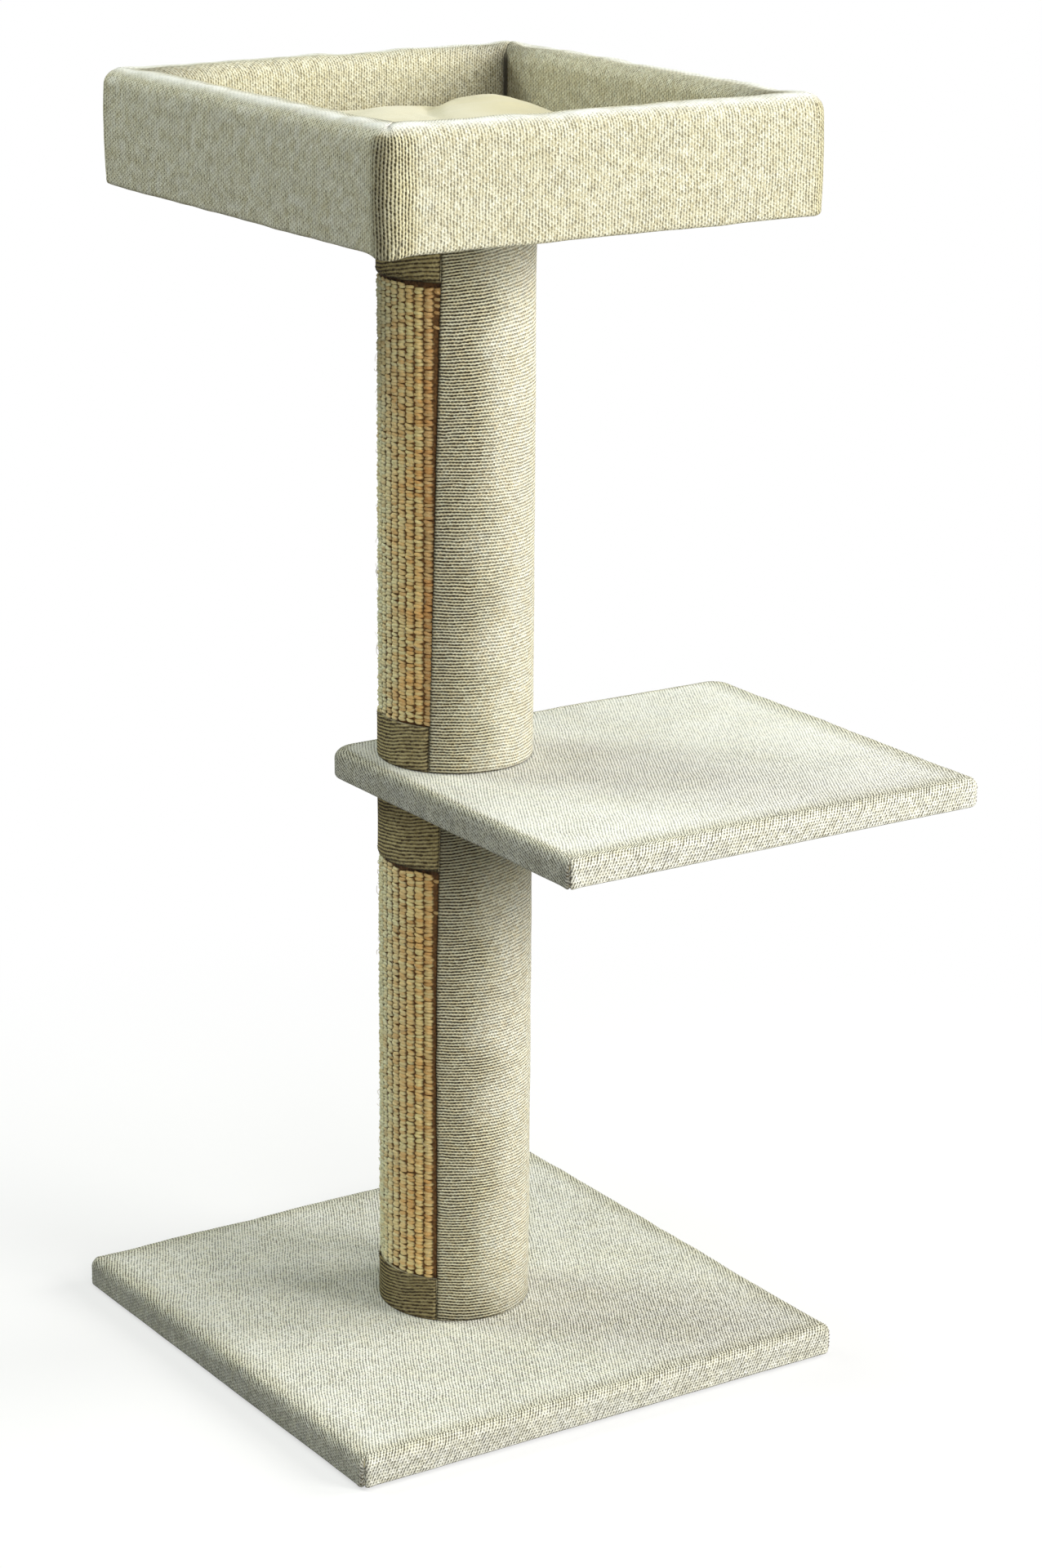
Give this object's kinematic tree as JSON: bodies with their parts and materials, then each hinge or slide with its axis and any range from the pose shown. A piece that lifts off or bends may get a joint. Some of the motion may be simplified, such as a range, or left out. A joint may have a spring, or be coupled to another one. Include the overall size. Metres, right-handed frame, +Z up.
{
  "type": "cat scratching post",
  "caption": "Tall cat tree: padded base, thick post with a ribbed sisal strip, offset padded platform, second post, and a padded tray holding a loose cushion.",
  "frame": {"origin": "on the posts' axis at floor level, the middle of the underlay's lower face", "axes": "+Z up along the posts; +X towards the side where the platform reaches furthest; -Y towards the front, where the platform also reaches out; the sisal strips face -X"},
  "size_m": [0.597, 0.562, 1.1409],
  "materials": {
    "cloth": "coarse beige linen-look plain weave",
    "underlay_felt": "dark felt",
    "cushion_cloth": "smooth cream cloth",
    "sisal": "ribbed loop-pile sisal",
    "foam": "open-cell foam",
    "board": "raw particle board",
    "paper_tube": "wound kraft paper",
    "steel": "zinc-plated"
  },
  "bodies": {
    "post_column": {"base_underlay": "underlay_felt", "base_cover": "cloth", "base_padding": "foam", "base_board": "board", "base_washer": "steel", "base_bolt": "steel", "lower_post_tube": "paper_tube", "lower_post_bottom_plug": "board", "lower_post_top_plug": "board", "lower_post_bottom_insert": "steel", "lower_post_top_insert": "steel", "lower_post_padding": "foam", "lower_post_cover": "cloth", "lower_post_sisal": "sisal", "lower_post_bottom_band": "cloth", "lower_post_top_band": "cloth", "centre_stud": "steel", "upper_post_tube": "paper_tube", "upper_post_bottom_plug": "board", "upper_post_top_plug": "board", "upper_post_bottom_insert": "steel", "upper_post_top_insert": "steel", "upper_post_padding": "foam", "upper_post_cover": "cloth", "upper_post_sisal": "sisal", "upper_post_bottom_band": "cloth", "upper_post_top_band": "cloth", "tray_washer": "steel", "tray_bolt": "steel"},
    "platform": {"platform_cover": "cloth", "platform_padding": "foam", "platform_board": "board", "platform_lining": "cloth"},
    "tray": {"tray_cover": "cloth", "tray_floor": "board", "tray_wall_front": "board", "tray_wall_back": "board", "tray_wall_left": "board", "tray_wall_right": "board", "tray_pad_front": "foam", "tray_pad_back": "foam", "tray_pad_left": "foam", "tray_pad_right": "foam", "tray_screw_1": "steel", "tray_screw_2": "steel", "tray_screw_3": "steel", "tray_screw_4": "steel", "tray_screw_5": "steel", "tray_screw_6": "steel", "tray_screw_7": "steel", "tray_screw_8": "steel", "tray_lining": "cloth"},
    "loose_cushion": {"cushion": "cushion_cloth"}
  },
  "joints": [
    {"name": "platform_swivel", "type": "hinge", "parent": "post_column", "child": "platform", "pos_m": [0, 0, 0.5368], "axis": [0, 0, 1], "continuous": true},
    {"name": "tray_swivel", "type": "hinge", "parent": "post_column", "child": "tray", "pos_m": [0, 0, 1.0399], "axis": [0, 0, 1], "continuous": true},
    {"name": "cushion_lift", "type": "slide", "parent": "tray", "child": "loose_cushion", "axis": [0, 0, 1], "range_m": [0, 0.25]}
  ]
}
